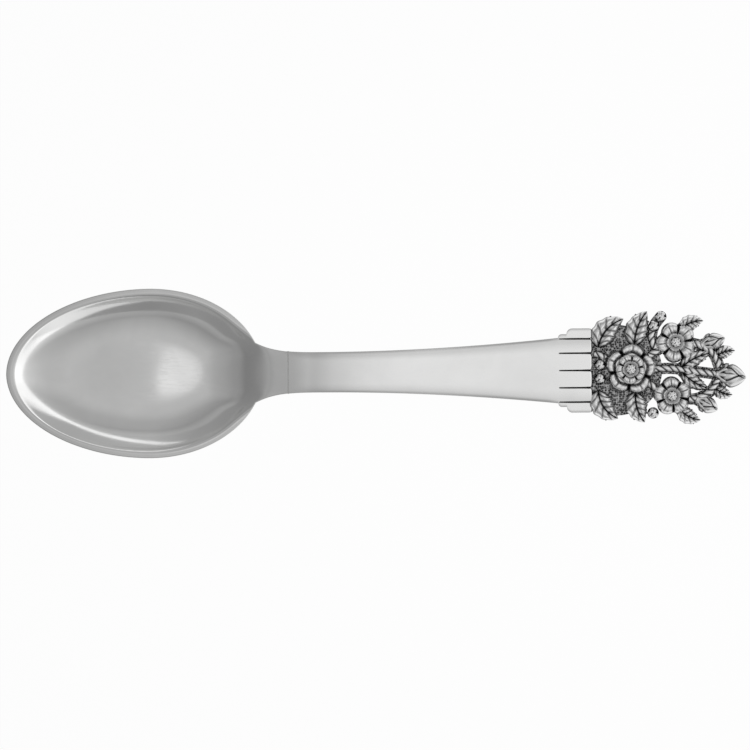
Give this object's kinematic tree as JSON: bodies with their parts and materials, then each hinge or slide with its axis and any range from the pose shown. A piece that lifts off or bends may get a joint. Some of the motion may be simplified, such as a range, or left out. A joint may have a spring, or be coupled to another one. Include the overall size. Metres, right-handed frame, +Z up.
{
  "type": "youth spoon",
  "caption": "Silver youth spoon with a deep oval bowl, an arched tapering handle with a fluted end, and an openwork finial of flowers, leaves and buds.",
  "frame": {"origin": "on the table under the middle of the spoon, which lies on its back", "axes": "+X along the spoon from the bowl's tip to the finial, +Y across it, +Z up from the table, out of the bowl's mouth"},
  "size_m": [0.15, 0.0344, 0.0108],
  "materials": {
    "polished_silver": "polished, with fine wear scratches",
    "solder": "dull grey hairline",
    "cast_silver": "satin, bright on the high spots and dark in the recesses",
    "oxidised_silver": "blackened and hatched"
  },
  "bodies": {
    "root": {"bowl": "polished_silver", "neck_solder_seam": "solder", "handle": "polished_silver", "finial_plate": "oxidised_silver", "large_flower_petals": "cast_silver", "large_flower_inner_petals": "cast_silver", "large_flower_bead": "cast_silver", "upper_flower_petals": "cast_silver", "upper_flower_bead": "cast_silver", "lower_flower_petals": "cast_silver", "lower_flower_bead": "cast_silver", "tip_bud": "cast_silver", "tip_bud_calyx": "cast_silver", "upper_bud": "cast_silver", "upper_bud_calyx": "cast_silver", "lower_bud": "cast_silver", "lower_bud_calyx": "cast_silver", "leaf_top_root": "cast_silver", "leaf_top_middle": "cast_silver", "leaf_top_end": "cast_silver", "leaf_bottom_root": "cast_silver", "leaf_bottom_middle": "cast_silver", "leaf_bottom_end": "cast_silver", "leaf_inner_upper": "cast_silver", "leaf_inner_lower": "cast_silver", "leaf_tip_upper": "cast_silver", "leaf_tip_lower": "cast_silver", "berry_top_1": "cast_silver", "berry_top_2": "cast_silver", "berry_root_1": "cast_silver", "berry_root_2": "cast_silver", "berry_bottom": "cast_silver", "main_stem": "cast_silver", "upper_stem": "cast_silver", "lower_stem": "cast_silver", "upper_branch": "cast_silver", "lower_branch": "cast_silver", "berry_stem": "cast_silver", "root_stem": "cast_silver"}
  },
  "joints": []
}
